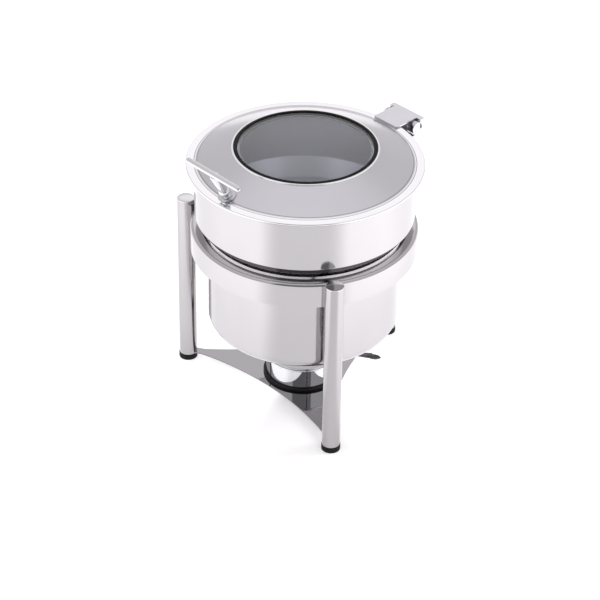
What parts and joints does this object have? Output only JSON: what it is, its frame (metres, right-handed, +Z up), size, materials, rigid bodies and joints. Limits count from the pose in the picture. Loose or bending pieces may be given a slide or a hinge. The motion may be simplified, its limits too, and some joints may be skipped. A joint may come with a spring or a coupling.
{
  "type": "round buffet chafer",
  "caption": "Round stainless buffet chafer on a tubular leg stand, with a hinged lid with a glass window, nested pans and a fuel burner.",
  "frame": {"origin": "middle of the whole object's footprint box, on the floor", "axes": "+Z up; -Y the lid handle's side, +Y the hinge's side; +X to the right seen from the handle"},
  "size_m": [0.36, 0.412, 0.4535],
  "materials": {
    "polished_steel": "polished stainless steel",
    "mirror_steel": "mirror-polished stainless steel",
    "pan_steel": "drawn stainless steel, finely polished",
    "satin_steel": "satin stainless steel",
    "hinge_steel": "satin stainless steel plate",
    "window_glass": "tempered glass with a faint grey tint",
    "black_rubber": "black moulded rubber",
    "black_metal": "black baked enamel",
    "black_plastic": "dark heat-resistant plastic"
  },
  "bodies": {
    "stand": {"leg_tube_rear": "polished_steel", "leg_tube_left": "polished_steel", "leg_tube_right": "polished_steel", "leg_cap_rear": "polished_steel", "leg_cap_left": "polished_steel", "leg_cap_right": "polished_steel", "leg_foot_rear": "black_rubber", "leg_foot_left": "black_rubber", "leg_foot_right": "black_rubber", "support_hoop": "polished_steel", "hoop_spacers": "polished_steel", "hoop_screws": "polished_steel", "base_plate": "mirror_steel"},
    "pans": {"water_pan": "pan_steel", "food_pan": "pan_steel", "hinge_bracket": "hinge_steel", "bracket_rivets": "hinge_steel", "hinge_pin": "hinge_steel"},
    "lid": {"hinge_leaf": "hinge_steel", "lid_shell": "satin_steel", "window_gasket": "black_rubber", "window_glass": "window_glass", "glass_clamp_ring": "satin_steel", "handle_base": "polished_steel", "handle_post": "polished_steel", "handle_bar": "polished_steel", "handle_screw": "polished_steel"},
    "burner": {"burner_cup": "mirror_steel", "burner_ring": "black_metal", "burner_handle": "black_metal"},
    "burner_lid": {"burner_cover": "mirror_steel", "snuffer_rivet": "polished_steel"},
    "snuffer": {"snuffer": "black_metal", "snuffer_pad": "black_plastic"}
  },
  "joints": [
    {"name": "pan_lift", "type": "slide", "parent": "stand", "child": "pans", "axis": [0, 0, 1], "range_m": [0, 0.2]},
    {"name": "lid_hinge", "type": "hinge", "parent": "pans", "child": "lid", "pos_m": [0, 0.19025, 0.3885], "axis": [-1, 0, 0], "range_deg": [0, 90]},
    {"name": "burner_slide", "type": "slide", "parent": "stand", "child": "burner", "axis": [0.866, 0.5, 0], "range_m": [0, 0.22]},
    {"name": "cover_lift", "type": "slide", "parent": "burner", "child": "burner_lid", "axis": [0, 0, 1], "range_m": [0, 0.045]},
    {"name": "snuffer_swing", "type": "hinge", "parent": "burner_lid", "child": "snuffer", "pos_m": [0.03808, 0.01409, 0.0548], "axis": [0, 0, -1], "range_deg": [0, 75]}
  ]
}
